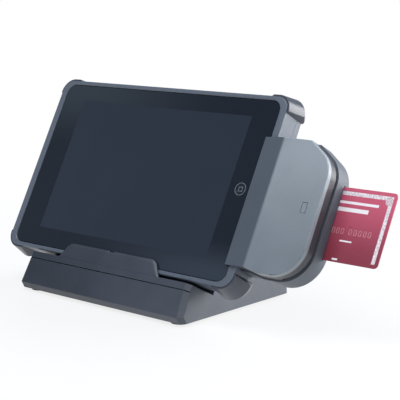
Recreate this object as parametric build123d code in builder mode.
"""Countertop tablet point-of-sale terminal.

A tablet in a protective case leans in a weighted dock. A payment card reader is bracketed to the
case's right-hand side, with a swipe slot down its edge and a chip slot that holds a card.
Millimetres and degrees. X runs along the dock's front, Y runs back and Z is up.
The origin is the centre of the counter-fixing holes, on the underside of the base plate.
"""

from build123d import *
import os
from math import atan2, cos, degrees, radians, sin

# ---------------------------------------------------------------- driving dimensions
TILT = 62.0  # glass, from the horizontal

# fits
RUN = 0.05  # radial clearance of a piece that slides in a guide
GAP = 0.3  # clearance between pieces that move past each other
SEAT = 0.5  # clearance behind the case in the dock

# tablet
GLASS_W, GLASS_H, GLASS_R, GLASS_T, GLASS_EDGE = 225.6, 140.2, 8.5, 1.0, 0.3
DISPLAY_W, DISPLAY_H, DISPLAY_T, DISPLAY_RISE, DISPLAY_R = 178.8, 111.7, 2.4, 0.7, 1.0
HOME_X = GLASS_W / 2 - 12.8
HOME_R, HOME_T, HOME_EDGE, HOME_SINK, HOME_TRAVEL, HOME_GAP = 5.0, 1.4, 0.25, 0.15, 0.4, 0.15
SWITCH_SIZE, SWITCH_R = 6.0, 0.8
TABLET_T, TABLET_BACK_R, SHELL_WALL, INSIDE_R = 11.0, 2.0, 1.3, 2.0
BATTERY_W, BATTERY_H, BATTERY_T, BATTERY_X = 84.0, 104.0, 3.6, -50.0
BOARD_W, BOARD_H, BOARD_T, BOARD_X = 96.0, 104.0, 1.2, 48.0
PORT_W, PORT_T, PORT_DEPTH, PORT_WALL, PORT_BACK = 9.0, 3.2, 7.0, 0.5, 6.0
SPEAKER_W, SPEAKER_H, SPEAKER_T = 24.0, 12.0, 4.0

# keys on the top side
KEY_PROUD, KEY_REACH, KEY_THICK, KEY_BACK, KEY_R = 0.9, 7.0, 2.6, 6.0, 0.6
POWER_X, POWER_LEN = 20.8 - GLASS_W / 2, 12.0
VOLUME_X, VOLUME_LEN = 50.8 - GLASS_W / 2, 26.0

# case
RIM_W, RIM_H, RIM_PROUD, RIM_BEVEL = 6.3, 3.7, 0.9, 0.7
CASE_DEPTH, CASE_SEAM, CASE_FLOOR = 24.0, 15.0, 2.4
CASE_W, CASE_H, CASE_R = GLASS_W + 2 * RIM_W, GLASS_H + 2 * RIM_H, GLASS_R + 2.0
CASE_SIDE = CASE_W / 2
REAR_CHAMFER, TABLET_FIT = 3.3, 0.3
BUMPER_T, BUMPER_FRONT_T, BUMPER_BACK_T = 5.0, 1.4, 1.5
BUMPER_RIDGE, BUMPER_DEPTH = 16.0, 22.0
BUMPER_END_X, BUMPER_END_Y = CASE_SIDE - 17.9, CASE_H / 2 - 12.3
BUMPER_SLANT_X, BUMPER_SLANT_Y = 1.2, 0.7  # run per rise of an end
SLED_BATTERY_W, SLED_BATTERY_H, SLED_BATTERY_T, SLED_BATTERY_Y = 86.0, 62.0, 7.4, 12.0
SLED_BOARD_W, SLED_BOARD_H, SLED_BOARD_Y = 90.0, 26.0, -50.0
SPACER_SIZE, SPACER_X, SPACER_Y = 14.0, 84.0, 46.0
CONTACT_W, CONTACT_D, CONTACT_H = 40.0, 6.0, 7.0
CONTACT_R, CONTACT_T, CONTACT_PITCH, CONTACT_COUNT = 1.6, 0.6, 5.5, 6
CASE_SCREW_X, CASE_SCREW_Y = GLASS_W / 2 - 4.8, GLASS_H / 2 - 8.1

# reader, outlined on the glass plane and placed from the case's right-hand side
READER_LEFT, READER_RIGHT, READER_TOP = CASE_SIDE - 9.3, CASE_SIDE + 56.5, 40.9
READER_FOOT, READER_BOTTOM = -57.2, -59.6
READER_STEP_A, READER_STEP_B = CASE_SIDE + 8.9, CASE_SIDE + 21.9
READER_SHOULDER_X, READER_SHOULDER_Y = CASE_SIDE + 34.0, 25.85
READER_LOWER_R, READER_UPPER_R, READER_EDGE_R = 24.0, 22.0, 1.0
READER_PROUD, READER_LIP_OUT, RAMP_END, READER_FACE_T = 6.0, 2.3, CASE_SIDE + 10.3, 3.0
READER_WALL, REAR_STEP, REAR_EDGE_R = 2.0, 1.2, 5.0
SWIPE_DEPTH, SWIPE_W, SWIPE_BACK, SWIPE_WALL = 17.6, 1.2, 5.0, 2.0
FLARE_W, FLARE_LEN = 1.8, 24.0
HEAD_SIZE, HEAD_R, HEAD_EDGE, HEAD_DEPTH, HEAD_PROUD = 8.0, 1.0, 0.4, 7.0, 0.5
HEAD_X, HEAD_Y = READER_RIGHT - 7.6, -12.0
LEAF_T, LEAF_LEN, LEAF_W = 0.3, 22.0, 4.0
WINDOW_W, WINDOW_H, WINDOW_R, WINDOW_T = 4.6, 8.0, 0.5, 0.8
WINDOW_X, WINDOW_Y = READER_RIGHT - 11.4, -8.6
BRACKET_LEFT, BRACKET_RIGHT, BRACKET_LOW, BRACKET_HIGH = CASE_SIDE - 27.1, CASE_SIDE + 14.9, -34.0, 16.0
BRACKET_T, BRACKET_R = 2.2, 4.0
BRACKET_SCREW_IN, BRACKET_CASE_X, BRACKET_READER_X = 8.0, CASE_SIDE - 19.1, CASE_SIDE + 7.4
CONNECTOR_LEFT, CONNECTOR_LEN, CONNECTOR_T, CONNECTOR_SIDE = CASE_SIDE + 11.9, 26.0, 8.0, 4.0
FINGER_PITCH, FINGER_W, FINGER_LEN, FINGER_T, FINGER_COUNT = 2.2, 1.2, 7.0, 0.25, 4
READER_BOARD_LEFT, READER_BOARD_RIGHT = CONNECTOR_LEFT, READER_RIGHT - 5.6
READER_BOARD_LOW, READER_BOARD_HIGH = -44.0, 26.0
READER_SCREWS = ((CASE_SIDE + 6.9, 34.0), (CASE_SIDE + 6.9, -50.0), (READER_RIGHT - 12.6, -49.0))
POST_R = 3.5

# card: the standard identity card size
CARD_W, CARD_H, CARD_T, CARD_R = 85.6, 53.98, 0.76, 3.18
CARD_OUT, CARD_Y, CARD_BACK, CARD_SLOT_T, CARD_SIDE = 44.0, -10.6, 16.0, 1.6, 0.5
CHIP_W, CHIP_H, CHIP_R, CHIP_T, CHIP_FROM_END, CHIP_FROM_TOP = 13.0, 11.8, 1.5, 0.3, 9.6, 19.2

# dock
DOCK_HALF, DOCK_DEPTH, DOCK_REAR_H = 87.8, 123.0, 20.0
FOOT_H, FOOT_R, FOOT_EDGE, FOOT_X, FOOT_Y = 2.0, 7.3, 0.4, 75.8, 50.9
UNDERCUT_BACK, UNDERCUT_UP = 3.1, 5.4
FACE_PROUD, FACE_LEN, STRIP_H, STRIP_BACK = 4.0, 26.5, 5.7, 0.2
END_DRAFT, CORNER_CHAMFER = 4.0, 3.8
LIP_T, LIP_RISE, LIP_TOP_HALF, LIP_FOOT_HALF, LIP_R = 2.5, 12.4, 46.0, 54.0, 6.0
NOTCH_W, NOTCH_D = 5.0, 0.9
PAD_T, PAD_W, PAD_D, PAD_R, PAD_X = 2.3, 30.0, 12.0, 2.0, 60.0
WEDGE_RISE, WEDGE_T = 41.0, 6.0
DOCK_WALL, PLATE_T, PLATE_CORNER = 2.5, 2.0, 3.0
REST_HALF, REST_RISE, REST_T, REST_FLANGE, REST_RIB_T = 45.0, 46.0, 5.0, 3.0, 3.0
REST_FLANGE_LEN, REST_SCREW_DOWN = 27.0, 19.0
BOSS_R, BOSS_X, BOSS_Y = 4.5, 56.0, 50.0
SCREW_R, SCREW_HEAD_R, SCREW_HEAD_T, SCREW_LEN = 1.5, 2.8, 1.4, 8.0
FIX_X, FIX_Y, FIX_R = 120.0, 60.0, 2.25
DOCK_BOARD_W, DOCK_BOARD_D, DOCK_BOARD_T, DOCK_SPACER_H, DOCK_SPACER_R = 98.0, 44.0, 1.2, 3.0, 2.5
PIN_R, PIN_LEN, PIN_GAP, PIN_TRAVEL, PIN_SHOW = 0.9, 5.0, 0.4, 1.0, 1.3
JACK_W, JACK_H, JACK_D, JACK_X = 9.0, 9.0, 14.0, -34.0
JACK_HOLE_R, JACK_PIN_R, JACK_HOLE_DEPTH = 2.9, 1.0, 9.5
USB_W, USB_H, USB_D, USB_T, USB_BACK = 13.2, 5.8, 14.0, 0.4, 2.0
USB_TONGUE_T, USB_TONGUE_W, USB_TONGUE_RISE = 1.8, 11.0, 1.0
USB_PLACES = (-5.0, 20.0)
PORT_EASE = 0.6  # by which a window in the rear wall is larger than its port's mouth

# ---------------------------------------------------------------- derived places
UP_GLASS = Vector(0, cos(radians(TILT)), sin(radians(TILT)))
OUT_OF_GLASS = Vector(0, -sin(radians(TILT)), cos(radians(TILT)))
PAD_TOP = -CASE_H / 2 - GAP
FLOOR_UP = PAD_TOP - PAD_T
FACE_FOOT_UP = FLOOR_UP - FACE_LEN
SEAM_UP = FLOOR_UP - STRIP_H
REST_OUT = -CASE_DEPTH - SEAT
SLOT_INNER = READER_RIGHT - SWIPE_DEPTH
READER_SEAM = -SWIPE_BACK - SWIPE_W
READER_INNER = CASE_SIDE + GAP
PLATE_TOP = PLATE_T
BOARD_TOP = PLATE_TOP + DOCK_SPACER_H + DOCK_BOARD_T
PORT_FACE = DOCK_DEPTH / 2 - DOCK_WALL

face_foot = Vector(0, -DOCK_DEPTH / 2 - UNDERCUT_BACK, UNDERCUT_UP)
GLASS_ORIGIN = face_foot - UP_GLASS * FACE_FOOT_UP - OUT_OF_GLASS * FACE_PROUD
GLASS = Plane(origin=GLASS_ORIGIN, x_dir=(1, 0, 0), z_dir=OUT_OF_GLASS)
ACROSS = Plane(origin=GLASS_ORIGIN, x_dir=(1, 0, 0), z_dir=-UP_GLASS)  # local Y is out of the glass
OUTWARD = Axis(GLASS_ORIGIN, OUT_OF_GLASS)
UPWARD = Axis(GLASS_ORIGIN, UP_GLASS)
KEYS = ((POWER_X, POWER_LEN), (VOLUME_X, VOLUME_LEN))


def beside(up, out):
    """A point of the side view, from its height up the glass and its distance out of it."""
    point = GLASS_ORIGIN + UP_GLASS * up + OUT_OF_GLASS * out
    return (point.Y, point.Z)


def rounded(width, height, radius, out, x=0, y=0):
    """A rounded rectangle, parallel to the glass."""
    with BuildSketch(GLASS.offset(out)) as sketch:
        with Locations((x, y)):
            RectangleRounded(width, height, radius)
    return sketch.sketch


def block(left, right, low, high, out):
    """A plain rectangle between four lines, parallel to the glass."""
    with BuildSketch(GLASS.offset(out)) as sketch:
        with Locations(((left + right) / 2, (low + high) / 2)):
            Rectangle(right - left, high - low)
    return sketch.sketch


def discs(points, radius, out):
    """Equal circles, parallel to the glass."""
    with BuildSketch(GLASS.offset(out)) as sketch:
        with Locations(*points):
            Circle(radius)
    return sketch.sketch


def level_discs(points, radius, height):
    """Equal circles on a level plane."""
    with BuildSketch(Plane.XY.offset(height)) as sketch:
        with Locations(*points):
            Circle(radius)
    return sketch.sketch


def key_way(x, length, low, high):
    """The way through a top side that a key passes along."""
    reach = length / 2 + GAP
    return block(x - reach, x + reach, low, high, -KEY_BACK + KEY_THICK / 2 + GAP)


def reader_outline(out, grow=0.0, left=None, right=None):
    """The reader's outline, grown all round and kept between two lines."""
    with BuildSketch(GLASS.offset(out)) as sketch:
        with BuildLine():
            Polyline(
                (READER_LEFT, READER_FOOT),
                (READER_STEP_A, READER_FOOT),
                (READER_STEP_B, READER_BOTTOM),
                (READER_RIGHT, READER_BOTTOM),
                (READER_RIGHT, READER_SHOULDER_Y),
                (READER_SHOULDER_X, READER_TOP),
                (READER_LEFT, READER_TOP),
                close=True,
            )
        make_face()
        fillet(sketch.vertices().group_by(Axis.X)[-1].sort_by(Axis.Y)[0], READER_LOWER_R)
        fillet(sketch.vertices().group_by(Axis.X)[-1].sort_by(Axis.Y)[-1], READER_UPPER_R)
        if grow:
            offset(amount=grow, kind=Kind.INTERSECTION, mode=Mode.REPLACE)
        if left is not None:
            span = 4 * READER_RIGHT
            with Locations((left + span / 2, 0)):
                Rectangle(span, span, mode=Mode.INTERSECT)
        if right is not None:
            span = 4 * READER_RIGHT
            with Locations((right - span / 2, 0)):
                Rectangle(span, span, mode=Mode.INTERSECT)
    return sketch.sketch


def section(points):
    """A closed outline across the object, from places along X and out of the glass."""
    with BuildSketch(ACROSS) as sketch:
        with BuildLine():
            Polyline(*points, close=True)
        make_face()
    return sketch.sketch


def profile(points, x=0.0):
    """A closed outline in the side view."""
    with BuildSketch(Plane.YZ.offset(x)) as sketch:
        with BuildLine():
            Polyline(*points, close=True)
        make_face()
    return sketch.sketch


# ---------------------------------------------------------------- tablet
with BuildPart() as cover_glass:
    extrude(rounded(GLASS_W, GLASS_H, GLASS_R, 0), amount=-GLASS_T)
    chamfer(cover_glass.faces().sort_by(OUTWARD)[-1].edges(), GLASS_EDGE)
    extrude(discs([(HOME_X, 0)], HOME_R + HOME_GAP, 0), amount=-GLASS_T, mode=Mode.SUBTRACT)

with BuildPart() as display_panel:
    extrude(rounded(DISPLAY_W, DISPLAY_H, DISPLAY_R, -GLASS_T, y=DISPLAY_RISE), amount=-DISPLAY_T)

with BuildPart() as home_key:
    extrude(discs([(HOME_X, 0)], HOME_R, -HOME_SINK), amount=-HOME_T)
    fillet(home_key.faces().sort_by(OUTWARD)[-1].edges(), HOME_EDGE)

home_switch_top = -HOME_SINK - HOME_T - HOME_TRAVEL - GAP
inside_back = -TABLET_T + SHELL_WALL
with BuildPart() as home_switch:
    switch = rounded(SWITCH_SIZE, SWITCH_SIZE, SWITCH_R, home_switch_top, x=HOME_X)
    extrude(switch, amount=inside_back - home_switch_top)

with BuildPart() as tablet_back_shell:
    extrude(rounded(GLASS_W, GLASS_H, GLASS_R, -GLASS_T), amount=GLASS_T - TABLET_T)
    fillet(tablet_back_shell.faces().sort_by(OUTWARD)[0].edges(), TABLET_BACK_R)
    inner_w, inner_h, inner_r = GLASS_W - 2 * SHELL_WALL, GLASS_H - 2 * SHELL_WALL, GLASS_R - SHELL_WALL
    tray = rounded(inner_w, inner_h, inner_r, -GLASS_T)
    extrude(tray, amount=GLASS_T + inside_back, mode=Mode.SUBTRACT)
    for key_x, key_len in KEYS:
        way = key_way(key_x, key_len, GLASS_H / 2 - 2 * SHELL_WALL, GLASS_H / 2 + SHELL_WALL)
        extrude(way, amount=-KEY_THICK - 2 * GAP, mode=Mode.SUBTRACT)
    port_low = -GLASS_H / 2 - SHELL_WALL
    mouth = block(-PORT_W / 2, PORT_W / 2, port_low, port_low + 3 * SHELL_WALL, -PORT_BACK + PORT_T / 2)
    extrude(mouth, amount=-PORT_T, mode=Mode.SUBTRACT)

with BuildPart() as tablet_battery:
    cell_top = inside_back + BATTERY_T
    extrude(rounded(BATTERY_W, BATTERY_H, INSIDE_R, cell_top, x=BATTERY_X), amount=-BATTERY_T)

with BuildPart() as tablet_board:
    extrude(rounded(BOARD_W, BOARD_H, INSIDE_R, inside_back + BOARD_T, x=BOARD_X), amount=-BOARD_T)
    switch_space = SWITCH_SIZE + 2 * SHELL_WALL
    with_key = rounded(switch_space, switch_space, SWITCH_R, inside_back + BOARD_T, x=HOME_X)
    extrude(with_key, amount=-BOARD_T, mode=Mode.SUBTRACT)

with BuildPart() as tablet_speaker:
    speaker_y = -GLASS_H / 2 + SHELL_WALL + SPEAKER_H / 2
    speaker = rounded(SPEAKER_W, SPEAKER_H, INSIDE_R, inside_back + SPEAKER_T, x=BATTERY_X, y=speaker_y)
    extrude(speaker, amount=-SPEAKER_T)

with BuildPart() as charge_port:
    port_mid = -GLASS_H / 2 + PORT_DEPTH / 2
    port_front = -PORT_BACK + PORT_T / 2
    shell = block(-PORT_W / 2, PORT_W / 2, -GLASS_H / 2, -GLASS_H / 2 + PORT_DEPTH, port_front)
    extrude(shell, amount=-PORT_T)
    hole = block(
        -PORT_W / 2 + PORT_WALL,
        PORT_W / 2 - PORT_WALL,
        -GLASS_H / 2,
        port_mid + PORT_WALL,
        port_front - PORT_WALL,
    )
    extrude(hole, amount=-PORT_T + 2 * PORT_WALL, mode=Mode.SUBTRACT)


def edge_key(x, length):
    """A key that passes through the case's top side and the tablet's wall."""
    low = CASE_H / 2 + KEY_PROUD - KEY_REACH
    with BuildSketch(GLASS.offset(-KEY_BACK + KEY_THICK / 2)) as sketch:
        with Locations((x, low + KEY_REACH / 2)):
            Rectangle(length, KEY_REACH)
        fillet(sketch.vertices().group_by(Axis.Y)[-1], KEY_R)
    return sketch.sketch


with BuildPart() as power_key:
    extrude(edge_key(POWER_X, POWER_LEN), amount=-KEY_THICK)

with BuildPart() as volume_rocker:
    extrude(edge_key(VOLUME_X, VOLUME_LEN), amount=-KEY_THICK)

# ---------------------------------------------------------------- case
pocket_w, pocket_h = GLASS_W + 2 * TABLET_FIT, GLASS_H + 2 * TABLET_FIT
pocket_r = GLASS_R + TABLET_FIT
with BuildPart() as case_front_frame:
    extrude(rounded(CASE_W, CASE_H, CASE_R, RIM_PROUD), amount=-RIM_PROUD - CASE_SEAM)
    chamfer(case_front_frame.faces().sort_by(OUTWARD)[-1].edges(), RIM_BEVEL)
    pocket = rounded(pocket_w, pocket_h, pocket_r, RIM_PROUD)
    extrude(pocket, amount=-RIM_PROUD - CASE_SEAM, mode=Mode.SUBTRACT)
    chamfer(case_front_frame.faces().sort_by(OUTWARD)[-1].inner_wires()[0].edges(), RIM_BEVEL)
    for key_x, key_len in KEYS:
        way = key_way(key_x, key_len, GLASS_H / 2 - SHELL_WALL, CASE_H / 2 + BUMPER_T)
        extrude(way, amount=-KEY_THICK - 2 * GAP, mode=Mode.SUBTRACT)

case_screw_places = [(x * CASE_SCREW_X, y * CASE_SCREW_Y) for x in (-1, 0, 1) for y in (-1, 1)]
bracket_rows = (BRACKET_LOW + BRACKET_SCREW_IN, BRACKET_HIGH - BRACKET_SCREW_IN)
case_bracket_places = [(BRACKET_CASE_X, row) for row in bracket_rows]
inside_rear = -CASE_DEPTH + CASE_FLOOR
with BuildPart() as rear_hollow:
    extrude(rounded(pocket_w, pocket_h, pocket_r, -CASE_SEAM), amount=CASE_SEAM + inside_rear)
    extrude(discs(case_screw_places, POST_R, -CASE_SEAM), amount=CASE_SEAM + inside_rear, mode=Mode.SUBTRACT)

with BuildPart() as case_rear_shell:
    extrude(rounded(CASE_W, CASE_H, CASE_R, -CASE_SEAM), amount=CASE_SEAM - CASE_DEPTH)
    chamfer(case_rear_shell.faces().sort_by(OUTWARD)[0].edges(), REAR_CHAMFER)
    add(rear_hollow.part, mode=Mode.SUBTRACT)
    seat = block(-CONTACT_W / 2, CONTACT_W / 2, -CASE_H / 2 - GAP, -CASE_H / 2 + CONTACT_H, -CASE_SEAM)
    extrude(seat, amount=-CONTACT_D, mode=Mode.SUBTRACT)
    extrude(discs(case_screw_places, SCREW_R, -CASE_DEPTH), amount=SCREW_LEN, mode=Mode.SUBTRACT)
    heads = discs(case_screw_places, SCREW_HEAD_R, -CASE_DEPTH)
    extrude(heads, amount=SCREW_HEAD_T, mode=Mode.SUBTRACT)
    extrude(discs(case_bracket_places, SCREW_R, -CASE_DEPTH), amount=CASE_FLOOR, mode=Mode.SUBTRACT)

with BuildPart() as case_screws:
    extrude(discs(case_screw_places, SCREW_R, -CASE_DEPTH), amount=SCREW_LEN)
    extrude(discs(case_screw_places, SCREW_HEAD_R, -CASE_DEPTH), amount=SCREW_HEAD_T)


def corner_reach(side_x, side_y):
    """The part of the glass plane that one bumper covers, its ends slanting away from the case."""
    past = 2 * BUMPER_T
    corners = [
        (BUMPER_END_X, BUMPER_END_Y),
        (CASE_SIDE, BUMPER_END_Y),
        (CASE_SIDE + past, BUMPER_END_Y + past * BUMPER_SLANT_Y),
        (CASE_SIDE + past, CASE_H / 2 + past),
        (BUMPER_END_X + past * BUMPER_SLANT_X, CASE_H / 2 + past),
        (BUMPER_END_X, CASE_H / 2),
    ]
    with BuildSketch(GLASS) as sketch:
        with BuildLine():
            Polyline(*[(side_x * x, side_y * y) for x, y in corners], close=True)
        make_face()
    return sketch.sketch


def leaning(narrow, length):
    """The angle of a side that falls from a bumper's ridge to a lower height."""
    return degrees(atan2(BUMPER_T - narrow, length))


with BuildPart() as guard_ring:
    ridge = rounded(CASE_W + 2 * BUMPER_T, CASE_H + 2 * BUMPER_T, CASE_R + BUMPER_T, -BUMPER_RIDGE)
    extrude(ridge, amount=BUMPER_RIDGE, taper=leaning(BUMPER_FRONT_T, BUMPER_RIDGE))
    tail = BUMPER_DEPTH - BUMPER_RIDGE
    extrude(ridge, amount=-tail, taper=leaning(BUMPER_BACK_T, tail))
    extrude(rounded(CASE_W, CASE_H, CASE_R, 0), amount=-CASE_DEPTH, mode=Mode.SUBTRACT)

bumpers = {}
for vertical, side_y in (("top", 1), ("bottom", -1)):
    for horizontal, side_x in (("left", -1), ("right", 1)):
        with BuildPart() as corner_bumper:
            extrude(corner_reach(side_x, side_y), amount=-CASE_DEPTH)
            add(guard_ring.part, mode=Mode.INTERSECT)
        bumpers[f"bumper_{vertical}_{horizontal}"] = corner_bumper

spacer_places = [(x * SPACER_X, y * SPACER_Y) for x in (-1, 1) for y in (-1, 1)]
with BuildPart() as foam_spacers:
    with BuildSketch(GLASS.offset(-TABLET_T)):
        with Locations(*spacer_places):
            Rectangle(SPACER_SIZE, SPACER_SIZE)
    extrude(amount=TABLET_T + inside_rear)

with BuildPart() as sled_battery:
    pack = rounded(SLED_BATTERY_W, SLED_BATTERY_H, INSIDE_R, inside_rear + SLED_BATTERY_T, y=SLED_BATTERY_Y)
    extrude(pack, amount=-SLED_BATTERY_T)

with BuildPart() as sled_board:
    link = rounded(SLED_BOARD_W, SLED_BOARD_H, INSIDE_R, inside_rear + BOARD_T, y=SLED_BOARD_Y)
    extrude(link, amount=-BOARD_T)
    round_posts = discs(case_screw_places, POST_R + GAP, inside_rear + BOARD_T)
    extrude(round_posts, amount=-BOARD_T, mode=Mode.SUBTRACT)

CONTACTS = Plane(
    origin=GLASS_ORIGIN - UP_GLASS * (CASE_H / 2) - OUT_OF_GLASS * (CASE_SEAM + CONTACT_D / 2),
    x_dir=(1, 0, 0),
    z_dir=-UP_GLASS,
)
with BuildPart() as case_contact_block:
    holder = block(-CONTACT_W / 2, CONTACT_W / 2, -CASE_H / 2, -CASE_H / 2 + CONTACT_H, -CASE_SEAM)
    extrude(holder, amount=-CONTACT_D)
    with BuildSketch(CONTACTS):
        with GridLocations(CONTACT_PITCH, 1, CONTACT_COUNT, 1):
            Circle(CONTACT_R)
    extrude(amount=-CONTACT_T, mode=Mode.SUBTRACT)

with BuildPart() as case_contact_pads:
    with BuildSketch(CONTACTS):
        with GridLocations(CONTACT_PITCH, 1, CONTACT_COUNT, 1):
            Circle(CONTACT_R)
    extrude(amount=-CONTACT_T)

# ---------------------------------------------------------------- reader
reader_back = -CASE_DEPTH  # level with the case's back, so that one flat bracket spans both
far = 2 * CASE_H
ramp_slope = (READER_PROUD - READER_LIP_OUT) / (RAMP_END - READER_LEFT)
ramp_x = READER_LEFT - READER_WALL
ramp_out = READER_LIP_OUT - READER_WALL * ramp_slope
window_sketch = rounded(WINDOW_W, WINDOW_H, WINDOW_R, READER_PROUD, x=WINDOW_X, y=WINDOW_Y)
head_hole = HEAD_SIZE + 2 * GAP
with BuildPart() as reader_front_cover:
    extrude(reader_outline(READER_PROUD), amount=READER_SEAM - READER_PROUD)
    fillet(reader_front_cover.faces().sort_by(OUTWARD)[-1].edges(), READER_EDGE_R)
    above_ramp = section(
        [
            (ramp_x, ramp_out),
            (RAMP_END, READER_PROUD),
            (RAMP_END, 2 * READER_PROUD),
            (ramp_x, 2 * READER_PROUD),
        ]
    )
    extrude(above_ramp, amount=far, both=True, mode=Mode.SUBTRACT)
    case_side = section(
        [
            (ramp_x, RIM_PROUD + GAP),
            (READER_INNER, RIM_PROUD + GAP),
            (READER_INNER, -CASE_DEPTH),
            (ramp_x, -CASE_DEPTH),
        ]
    )
    extrude(case_side, amount=far, both=True, mode=Mode.SUBTRACT)
    cover_front = READER_PROUD - READER_FACE_T
    wide = reader_outline(cover_front, -READER_WALL, left=READER_INNER + READER_WALL, right=SLOT_INNER)
    extrude(wide, amount=READER_SEAM - cover_front, mode=Mode.SUBTRACT)
    deep = reader_outline(cover_front, -READER_WALL, left=SLOT_INNER - READER_WALL)
    extrude(deep, amount=-SWIPE_BACK + SWIPE_WALL - cover_front, mode=Mode.SUBTRACT)
    swipe = section(
        [
            (SLOT_INNER, -SWIPE_BACK),
            (2 * READER_RIGHT, -SWIPE_BACK),
            (2 * READER_RIGHT, READER_SEAM),
            (SLOT_INNER, READER_SEAM),
        ]
    )
    extrude(swipe, amount=far, both=True, mode=Mode.SUBTRACT)
    for end, inward in ((READER_BOTTOM, 1), (READER_TOP, -1)):
        flare = profile(
            [
                beside(end - inward * FLARE_W, -SWIPE_BACK),
                beside(end - inward * FLARE_W, -SWIPE_BACK + FLARE_W),
                beside(end + inward * FLARE_LEN, -SWIPE_BACK),
            ],
            SLOT_INNER,
        )
        extrude(flare, amount=SWIPE_DEPTH + READER_WALL, mode=Mode.SUBTRACT)
    head_way = block(
        HEAD_X - head_hole / 2,
        HEAD_X + head_hole / 2,
        HEAD_Y - head_hole / 2,
        HEAD_Y + head_hole / 2,
        0,
    )
    extrude(head_way, amount=-SWIPE_BACK, mode=Mode.SUBTRACT)
    extrude(window_sketch, amount=-WINDOW_T, mode=Mode.SUBTRACT)

with BuildPart() as status_window:
    extrude(window_sketch, amount=-WINDOW_T)

with BuildPart() as mag_head:
    head_front = -SWIPE_BACK - HEAD_PROUD + HEAD_DEPTH
    extrude(rounded(HEAD_SIZE, HEAD_SIZE, HEAD_R, head_front, x=HEAD_X, y=HEAD_Y), amount=-HEAD_DEPTH)
    chamfer(mag_head.faces().sort_by(OUTWARD)[0].edges(), HEAD_EDGE)

with BuildPart() as mag_head_spring:
    leaf = rounded(LEAF_W, LEAF_LEN, HEAD_R, head_front + LEAF_T, x=HEAD_X, y=HEAD_Y)
    extrude(leaf, amount=-LEAF_T)

reader_bracket_places = [(BRACKET_READER_X, row) for row in bracket_rows]
with BuildPart() as reader_hollow:
    shallow = reader_outline(READER_SEAM, REAR_STEP - READER_WALL, READER_INNER + READER_WALL, SLOT_INNER)
    extrude(shallow, amount=reader_back + READER_WALL - READER_SEAM)
    behind = reader_outline(READER_SEAM - SWIPE_WALL, REAR_STEP - READER_WALL, SLOT_INNER - READER_WALL)
    extrude(behind, amount=reader_back + READER_WALL - READER_SEAM + SWIPE_WALL)
    posts = discs(READER_SCREWS, POST_R, READER_SEAM)
    extrude(posts, amount=reader_back - READER_SEAM, mode=Mode.SUBTRACT)

card_right = READER_RIGHT + REAR_STEP + CARD_OUT
card_left = card_right - CARD_W
with BuildPart() as reader_rear_housing:
    extrude(reader_outline(READER_SEAM, REAR_STEP, left=READER_INNER), amount=reader_back - READER_SEAM)
    back_edges = reader_rear_housing.faces().sort_by(OUTWARD)[0].edges()
    fillet(back_edges.sort_by(Axis.X)[1:], REAR_EDGE_R)
    add(reader_hollow.part, mode=Mode.SUBTRACT)
    card_way = block(
        card_right - CARD_OUT - 2 * REAR_EDGE_R,
        card_right,
        CARD_Y - CARD_H / 2 - CARD_SIDE,
        CARD_Y + CARD_H / 2 + CARD_SIDE,
        -CARD_BACK + CARD_SLOT_T / 2,
    )
    extrude(card_way, amount=-CARD_SLOT_T, mode=Mode.SUBTRACT)
    extrude(discs(READER_SCREWS, SCREW_R, reader_back), amount=SCREW_LEN, mode=Mode.SUBTRACT)
    extrude(discs(READER_SCREWS, SCREW_HEAD_R, reader_back), amount=SCREW_HEAD_T, mode=Mode.SUBTRACT)
    extrude(discs(reader_bracket_places, SCREW_R, reader_back), amount=READER_WALL, mode=Mode.SUBTRACT)

with BuildPart() as reader_screws:
    extrude(discs(READER_SCREWS, SCREW_R, reader_back), amount=SCREW_LEN)
    extrude(discs(READER_SCREWS, SCREW_HEAD_R, reader_back), amount=SCREW_HEAD_T)

bracket_back = -CASE_DEPTH - BRACKET_T
bracket_places = case_bracket_places + reader_bracket_places
with BuildPart() as reader_bracket:
    extrude(block(BRACKET_LEFT, BRACKET_RIGHT, BRACKET_LOW, BRACKET_HIGH, -CASE_DEPTH), amount=-BRACKET_T)
    fillet(reader_bracket.edges().filter_by(OUTWARD), BRACKET_R)
    extrude(discs(bracket_places, SCREW_R, bracket_back), amount=BRACKET_T, mode=Mode.SUBTRACT)

with BuildPart() as bracket_screws:
    extrude(discs(bracket_places, SCREW_R, bracket_back), amount=BRACKET_T + CASE_FLOOR)
    extrude(discs(bracket_places, SCREW_HEAD_R, bracket_back), amount=-SCREW_HEAD_T)

connector_front = -CARD_BACK + CONNECTOR_T / 2
connector_right = CONNECTOR_LEFT + CONNECTOR_LEN
chip_x = card_left + CHIP_FROM_END + CHIP_W / 2
chip_y = CARD_Y + CARD_H / 2 - CHIP_FROM_TOP - CHIP_H / 2
with BuildPart() as chip_connector:
    body_half = CARD_H / 2 + CARD_SIDE + CONNECTOR_SIDE
    body = block(CONNECTOR_LEFT, connector_right, CARD_Y - body_half, CARD_Y + body_half, connector_front)
    extrude(body, amount=-CONNECTOR_T)
    guide_half = CARD_H / 2 + CARD_SIDE
    guide = block(
        card_left - GAP,
        connector_right,
        CARD_Y - guide_half,
        CARD_Y + guide_half,
        -CARD_BACK + CARD_SLOT_T / 2,
    )
    extrude(guide, amount=-CARD_SLOT_T, mode=Mode.SUBTRACT)
    over_chip = block(
        chip_x - CHIP_W / 2,
        connector_right,
        chip_y - CHIP_H / 2,
        chip_y + CHIP_H / 2,
        connector_front,
    )
    extrude(over_chip, amount=-(CONNECTOR_T - CARD_SLOT_T) / 2, mode=Mode.SUBTRACT)

with BuildPart() as chip_contacts:
    with BuildSketch(GLASS.offset(-CARD_BACK + CARD_SLOT_T / 2 + FINGER_T)):
        with Locations((chip_x - CHIP_W / 2 + FINGER_LEN / 2, chip_y)):
            with GridLocations(1, FINGER_PITCH, 1, FINGER_COUNT):
                Rectangle(FINGER_LEN, FINGER_W)
    extrude(amount=-FINGER_T)

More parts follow.
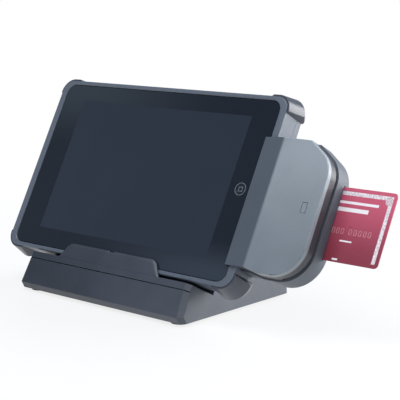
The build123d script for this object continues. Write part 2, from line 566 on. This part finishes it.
with BuildPart() as reader_board:
    circuit = block(
        READER_BOARD_LEFT,
        READER_BOARD_RIGHT,
        READER_BOARD_LOW,
        READER_BOARD_HIGH,
        connector_front - CONNECTOR_T,
    )
    extrude(circuit, amount=-BOARD_T)

card_front = -CARD_BACK + CARD_T / 2
chip_sketch = rounded(CHIP_W, CHIP_H, CHIP_R, card_front, x=chip_x, y=chip_y)
with BuildPart() as payment_card:
    extrude(rounded(CARD_W, CARD_H, CARD_R, card_front, x=card_right - CARD_W / 2, y=CARD_Y), amount=-CARD_T)
    extrude(chip_sketch, amount=-CHIP_T, mode=Mode.SUBTRACT)

with BuildPart() as card_chip:
    extrude(chip_sketch, amount=-CHIP_T)

# ---------------------------------------------------------------- dock
rear_y = DOCK_DEPTH / 2
wedge_up = FLOOR_UP + WEDGE_RISE
wedge_edge = beside(wedge_up, REST_OUT - WEDGE_T)
base_line = [(rear_y, 0), (-rear_y, 0), (-rear_y - UNDERCUT_BACK, UNDERCUT_UP)]
trough_line = [
    beside(FLOOR_UP, REST_OUT),
    beside(wedge_up, REST_OUT),
    wedge_edge,
    (rear_y, DOCK_REAR_H),
]
block_points = base_line + [beside(FLOOR_UP, FACE_PROUD)] + trough_line
housing_points = (
    base_line
    + [beside(SEAM_UP, FACE_PROUD), beside(SEAM_UP, STRIP_BACK), beside(FLOOR_UP, STRIP_BACK)]
    + trough_line
)


def end_plane(side, inset):
    """The drafted plane of one end of the dock, its normal pointing away from the dock."""
    lean = Vector(side * cos(radians(END_DRAFT)), 0, sin(radians(END_DRAFT)))
    return Plane(origin=(side * (DOCK_HALF - inset), 0, 0), x_dir=(0, 1, 0), z_dir=lean)


with BuildPart() as dock_block:
    extrude(profile(block_points), amount=DOCK_HALF, both=True)
    for side in (-1, 1):
        split(bisect_by=end_plane(side, 0), keep=Keep.BOTTOM)
    face = dock_block.faces().sort_by(OUTWARD)[-1]
    undercut = dock_block.faces().sort_by(Axis.Y)[0:2].sort_by(Axis.Z)[0]
    corners = [edges.sort_by(Axis.X)[pick] for edges in (face.edges(), undercut.edges()) for pick in (0, -1)]
    chamfer(corners, CORNER_CHAMFER)

strip = profile(
    [
        beside(SEAM_UP, FACE_PROUD),
        beside(FLOOR_UP, FACE_PROUD),
        beside(FLOOR_UP, STRIP_BACK),
        beside(SEAM_UP, STRIP_BACK),
    ]
)
with BuildPart() as strip_space:
    extrude(strip, amount=DOCK_HALF, both=True)

lip_top = FLOOR_UP + LIP_RISE
with BuildPart() as dock_front_lip:
    add(dock_block.part)
    add(strip_space.part, mode=Mode.INTERSECT)
    with BuildSketch(GLASS.offset(FACE_PROUD)) as tab:
        with BuildLine():
            Polyline(
                (-LIP_FOOT_HALF, FLOOR_UP),
                (LIP_FOOT_HALF, FLOOR_UP),
                (LIP_TOP_HALF, lip_top),
                (-LIP_TOP_HALF, lip_top),
                close=True,
            )
        make_face()
        fillet(tab.vertices().group_by(Axis.Y)[-1], LIP_R)
        with Locations((0, lip_top)):
            Rectangle(NOTCH_W, 2 * NOTCH_D, mode=Mode.SUBTRACT)
    extrude(amount=-LIP_T)

fix_places = [(x * FIX_X / 2, y * FIX_Y / 2) for x in (-1, 1) for y in (-1, 1)]
boss_places = [(x * BOSS_X, y * BOSS_Y) for x in (-1, 1) for y in (-1, 1)]
with BuildPart() as dock_hollow:
    with BuildSketch(Plane.YZ):
        with BuildLine():
            Polyline(*housing_points, close=True)
        make_face()
        offset(amount=-DOCK_WALL, kind=Kind.INTERSECTION, mode=Mode.REPLACE)
        with Locations((0, PLATE_TOP)):
            Rectangle(DOCK_DEPTH - 2 * DOCK_WALL, 4 * PLATE_T)
    extrude(amount=DOCK_HALF, both=True)
    for side in (-1, 1):
        split(bisect_by=end_plane(side, DOCK_WALL), keep=Keep.BOTTOM)
    bosses = level_discs(boss_places, BOSS_R, PLATE_TOP)
    extrude(bosses, amount=DOCK_DEPTH, mode=Mode.SUBTRACT)

CRADLE = Plane(
    origin=GLASS_ORIGIN + UP_GLASS * FLOOR_UP - OUT_OF_GLASS * (CASE_SEAM + CONTACT_D / 2),
    x_dir=(1, 0, 0),
    z_dir=UP_GLASS,
)
pin_top = -CASE_H / 2 - PIN_GAP
pin_block_top = pin_top - PIN_SHOW
pin_block_low = pin_top - PIN_LEN - PIN_TRAVEL - 2 * GAP - SHELL_WALL
slope = (Vector(0, rear_y, DOCK_REAR_H) - Vector(0, *wedge_edge)).normalized()
slope_out = Vector(0, -slope.Z, slope.Y)
FLANGE = Plane(origin=Vector(0, *wedge_edge), x_dir=(1, 0, 0), z_dir=slope_out)
flange_screws = [(-REST_HALF / 2, REST_SCREW_DOWN), (REST_HALF / 2, REST_SCREW_DOWN)]


def on_flange(points, radius, out):
    """Equal circles on the dock's rear slope, measured down it."""
    with BuildSketch(FLANGE.offset(out)) as sketch:
        with Locations(*points):
            Circle(radius)
    return sketch.sketch


usb_places = [(x, BOARD_TOP + USB_H / 2) for x in USB_PLACES]
with BuildPart() as dock_housing:
    add(dock_block.part)
    add(strip_space.part, mode=Mode.SUBTRACT)
    add(dock_hollow.part, mode=Mode.SUBTRACT)
    extrude(level_discs(boss_places, SCREW_R, PLATE_TOP), amount=SCREW_LEN, mode=Mode.SUBTRACT)
    with BuildSketch(CRADLE):
        Rectangle(CONTACT_W, CONTACT_D)
    extrude(amount=pin_block_low - FLOOR_UP, mode=Mode.SUBTRACT)
    with BuildSketch(Plane.XZ.offset(-rear_y)):
        with Locations((JACK_X, BOARD_TOP + JACK_H / 2)):
            Circle(JACK_HOLE_R + PORT_EASE)
        with Locations(*usb_places):
            Rectangle(USB_W, USB_H)
    extrude(amount=DOCK_WALL, mode=Mode.SUBTRACT)
    extrude(on_flange(flange_screws, SCREW_R, 0), amount=-DOCK_WALL, mode=Mode.SUBTRACT)

top_up = wedge_up + REST_RISE
edge = Vector(0, *wedge_edge)
heel = edge + slope * REST_FLANGE_LEN
# where the top of the flange meets the back of the panel
crook_run = (WEDGE_T - REST_T - slope_out.dot(OUT_OF_GLASS) * REST_FLANGE) / slope.dot(OUT_OF_GLASS)
crook = edge + slope_out * REST_FLANGE + slope * crook_run
with BuildPart() as dock_back_rest:
    lip_of_heel = heel + slope_out * REST_FLANGE
    bent_plate = [
        beside(wedge_up, REST_OUT),
        beside(top_up, REST_OUT),
        beside(top_up, REST_OUT - REST_T),
        (crook.Y, crook.Z),
        (lip_of_heel.Y, lip_of_heel.Z),
        (heel.Y, heel.Z),
        wedge_edge,
    ]
    extrude(profile(bent_plate), amount=REST_HALF, both=True)
    top_edges = dock_back_rest.faces().sort_by(UPWARD)[-1].edges()
    fillet([top_edges.sort_by(Axis.X)[0], top_edges.sort_by(Axis.X)[-1]], LIP_R)
    rib_root = crook - slope_out * (REST_FLANGE / 2)
    rib_heel = heel - slope * REST_FLANGE + slope_out * (REST_FLANGE / 2)
    rib = [
        beside(top_up - 2 * LIP_R, REST_OUT - REST_T / 2),
        beside(wedge_up + REST_T / 2, REST_OUT - REST_T / 2),
        (rib_root.Y, rib_root.Z),
        (rib_heel.Y, rib_heel.Z),
    ]
    for rib_x in (LIP_R - REST_HALF, 0, REST_HALF - LIP_R):
        extrude(profile(rib, rib_x), amount=REST_RIB_T / 2, both=True)
    extrude(on_flange(flange_screws, SCREW_R, 0), amount=REST_FLANGE, mode=Mode.SUBTRACT)

with BuildPart() as rest_screws:
    extrude(on_flange(flange_screws, SCREW_R, REST_FLANGE), amount=-REST_FLANGE - DOCK_WALL)
    extrude(on_flange(flange_screws, SCREW_HEAD_R, REST_FLANGE), amount=SCREW_HEAD_T)

with BuildPart() as base_plate:
    with BuildSketch(Plane.XY) as plate_outline:
        Rectangle(2 * (DOCK_HALF - DOCK_WALL - GAP), DOCK_DEPTH - 2 * DOCK_WALL - 2 * GAP)
        chamfer(plate_outline.vertices(), PLATE_CORNER)
    extrude(amount=PLATE_T)
    extrude(level_discs(fix_places, FIX_R, 0), amount=PLATE_T, mode=Mode.SUBTRACT)
    extrude(level_discs(boss_places, SCREW_R, 0), amount=PLATE_T, mode=Mode.SUBTRACT)
    extrude(level_discs(boss_places, SCREW_HEAD_R, 0), amount=SCREW_HEAD_T, mode=Mode.SUBTRACT)

with BuildPart() as base_screws:
    extrude(level_discs(boss_places, SCREW_R, 0), amount=SCREW_LEN)
    extrude(level_discs(boss_places, SCREW_HEAD_R, 0), amount=SCREW_HEAD_T)

foot_places = [(x * FOOT_X, y * FOOT_Y) for x in (-1, 1) for y in (-1, 1)]
with BuildPart() as dock_feet:
    extrude(level_discs(foot_places, FOOT_R, 0), amount=-FOOT_H)
    fillet(dock_feet.faces().group_by(Axis.Z)[0].edges(), FOOT_EDGE)

with BuildPart() as rest_pads:
    with BuildSketch(CRADLE):
        with Locations((-PAD_X, 0), (PAD_X, 0)):
            RectangleRounded(PAD_W, PAD_D, PAD_R)
    extrude(amount=PAD_T)

with BuildPart() as dock_contact_block:
    with BuildSketch(CRADLE.offset(pin_block_top - FLOOR_UP)):
        Rectangle(CONTACT_W, CONTACT_D)
    extrude(amount=pin_block_low - pin_block_top)
    with BuildSketch(CRADLE.offset(pin_block_top - FLOOR_UP)):
        with GridLocations(CONTACT_PITCH, 1, CONTACT_COUNT, 1):
            Circle(PIN_R + RUN)
    extrude(amount=pin_block_low + SHELL_WALL - pin_block_top, mode=Mode.SUBTRACT)

with BuildPart() as contact_pins:
    with BuildSketch(CRADLE.offset(pin_top - FLOOR_UP)):
        with GridLocations(CONTACT_PITCH, 1, CONTACT_COUNT, 1):
            Circle(PIN_R)
    extrude(amount=-PIN_LEN)

board_y = PORT_FACE - DOCK_BOARD_D / 2
spacer_corners = [
    (x * (DOCK_BOARD_W / 2 - 2 * DOCK_SPACER_R), board_y + y * (DOCK_BOARD_D / 2 - 2 * DOCK_SPACER_R))
    for x in (-1, 1)
    for y in (-1, 1)
]
with BuildPart() as board_spacers:
    extrude(level_discs(spacer_corners, DOCK_SPACER_R, PLATE_TOP), amount=DOCK_SPACER_H)

with BuildPart() as dock_board:
    with BuildSketch(Plane.XY.offset(PLATE_TOP + DOCK_SPACER_H)):
        with Locations((0, board_y)):
            Rectangle(DOCK_BOARD_W, DOCK_BOARD_D)
    extrude(amount=DOCK_BOARD_T)

with BuildPart() as power_inlet:
    with BuildSketch(Plane.XZ.offset(-PORT_FACE)):
        with Locations((JACK_X, BOARD_TOP + JACK_H / 2)):
            Rectangle(JACK_W, JACK_H)
    extrude(amount=JACK_D)
    with BuildSketch(Plane.XZ.offset(-PORT_FACE)):
        with Locations((JACK_X, BOARD_TOP + JACK_H / 2)):
            Circle(JACK_HOLE_R)
            Circle(JACK_PIN_R, mode=Mode.SUBTRACT)
    extrude(amount=JACK_HOLE_DEPTH, mode=Mode.SUBTRACT)

with BuildPart() as usb_ports:
    with BuildSketch(Plane.XZ.offset(-PORT_FACE)):
        with Locations(*usb_places):
            Rectangle(USB_W, USB_H)
    extrude(amount=USB_D)
    with BuildSketch(Plane.XZ.offset(-PORT_FACE)):
        with Locations(*usb_places):
            Rectangle(USB_W - 2 * USB_T, USB_H - 2 * USB_T)
        with Locations(*[(x, z + USB_TONGUE_RISE) for x, z in usb_places]):
            Rectangle(USB_TONGUE_W, USB_TONGUE_T, mode=Mode.SUBTRACT)
    extrude(amount=USB_D - USB_BACK, mode=Mode.SUBTRACT)

# ---------------------------------------------------------------- hand over
pieces = {
    "cover_glass": cover_glass,
    "display_panel": display_panel,
    "home_key": home_key,
    "home_switch": home_switch,
    "tablet_back_shell": tablet_back_shell,
    "tablet_battery": tablet_battery,
    "tablet_board": tablet_board,
    "tablet_speaker": tablet_speaker,
    "charge_port": charge_port,
    "power_key": power_key,
    "volume_rocker": volume_rocker,
    "case_front_frame": case_front_frame,
    "case_rear_shell": case_rear_shell,
    "case_screws": case_screws,
    **bumpers,
    "foam_spacers": foam_spacers,
    "sled_battery": sled_battery,
    "sled_board": sled_board,
    "case_contact_block": case_contact_block,
    "case_contact_pads": case_contact_pads,
    "reader_front_cover": reader_front_cover,
    "status_window": status_window,
    "mag_head": mag_head,
    "mag_head_spring": mag_head_spring,
    "reader_rear_housing": reader_rear_housing,
    "reader_screws": reader_screws,
    "reader_bracket": reader_bracket,
    "bracket_screws": bracket_screws,
    "chip_connector": chip_connector,
    "chip_contacts": chip_contacts,
    "reader_board": reader_board,
    "payment_card": payment_card,
    "card_chip": card_chip,
    "dock_housing": dock_housing,
    "dock_front_lip": dock_front_lip,
    "dock_back_rest": dock_back_rest,
    "rest_screws": rest_screws,
    "base_plate": base_plate,
    "base_screws": base_screws,
    "dock_feet": dock_feet,
    "rest_pads": rest_pads,
    "dock_contact_block": dock_contact_block,
    "contact_pins": contact_pins,
    "board_spacers": board_spacers,
    "dock_board": dock_board,
    "power_inlet": power_inlet,
    "usb_ports": usb_ports,
}

os.makedirs("parts", exist_ok=True)
for label, piece in pieces.items():
    piece.part.label = label
    export_step(piece.part, f"parts/{label}.step")
print(len(pieces), "pieces, glass centre at", GLASS_ORIGIN)
